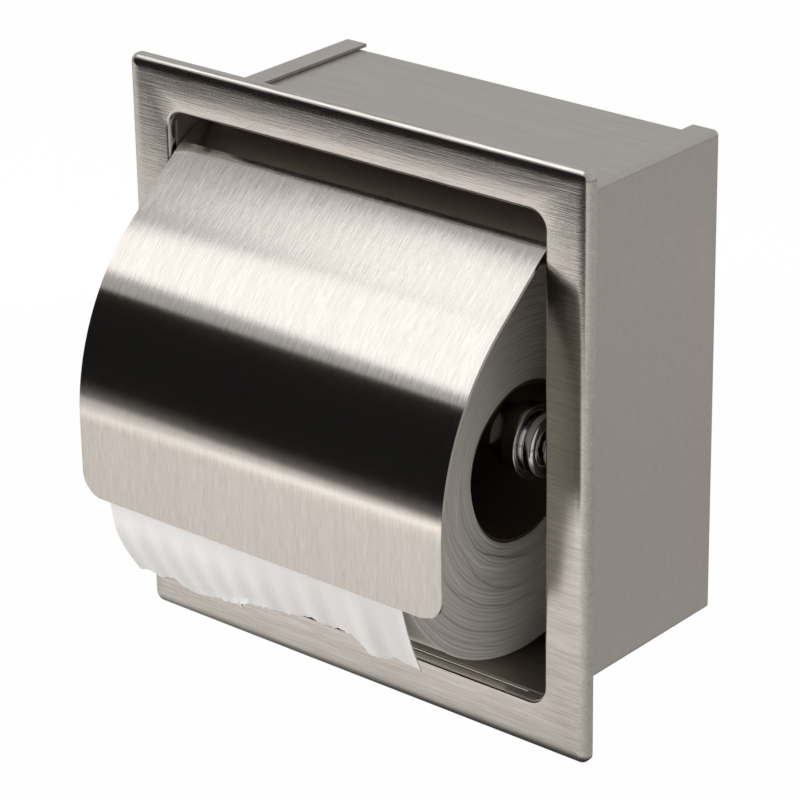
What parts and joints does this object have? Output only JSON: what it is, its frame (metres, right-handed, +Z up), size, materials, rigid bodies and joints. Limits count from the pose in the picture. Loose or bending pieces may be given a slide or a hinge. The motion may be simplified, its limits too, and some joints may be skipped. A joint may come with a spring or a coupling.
{
  "type": "toilet paper holder",
  "caption": "Recessed steel toilet paper holder: wide pressed frame round a wall box, a curved hinged hood over the roll, and a sprung roller between two posts carrying a paper roll.",
  "frame": {"origin": "middle of the front frame's back, on the face of the finished wall, where the recess opens", "axes": "+X right as seen from the front, +Y into the wall, +Z up"},
  "size_m": [0.16, 0.1161, 0.1694],
  "materials": {
    "brushed_steel": "satin",
    "polished_steel": "polished",
    "spring_steel": "satin",
    "nylon": "matte",
    "cardboard": "matte",
    "tissue": "matte"
  },
  "bodies": {
    "housing": {"front_frame": "brushed_steel", "housing_shell": "brushed_steel", "left_side_panel": "brushed_steel", "right_side_panel": "brushed_steel", "hinge_rod": "polished_steel", "hinge_bush_left": "nylon", "hinge_bush_right": "nylon", "rod_clip_left": "spring_steel", "rod_clip_right": "spring_steel", "left_post": "polished_steel", "right_post": "polished_steel", "left_post_screw": "spring_steel", "right_post_screw": "spring_steel", "paper_tail": "tissue"},
    "hood": {"hood": "brushed_steel"},
    "roller": {"roller_barrel": "polished_steel", "roller_left_knob": "polished_steel", "roller_bush": "nylon", "roller_spring": "spring_steel"},
    "plunger": {"roller_plunger": "polished_steel", "plunger_retainer": "spring_steel"},
    "roll": {"paper_core": "cardboard", "paper_roll": "tissue"}
  },
  "joints": [
    {"name": "hood_hinge", "type": "hinge", "parent": "housing", "child": "hood", "pos_m": [0, 0.01344, 0.06396], "axis": [-1, 0, 0], "range_deg": [0, 34]},
    {"name": "roller_spin", "type": "hinge", "parent": "housing", "child": "roller", "pos_m": [0, 0.0133, -0.00275], "axis": [1, 0, 0], "continuous": true},
    {"name": "plunger_slide", "type": "slide", "parent": "roller", "child": "plunger", "axis": [-1, 0, 0], "range_m": [0, 0.008], "stiffness_N_per_m": 400, "springref_m": -0.01, "deforming": ["roller_spring"]},
    {"name": "roll_spin", "type": "hinge", "parent": "housing", "child": "roll", "pos_m": [0, 0.0133, -0.00985], "axis": [1, 0, 0], "continuous": true}
  ]
}
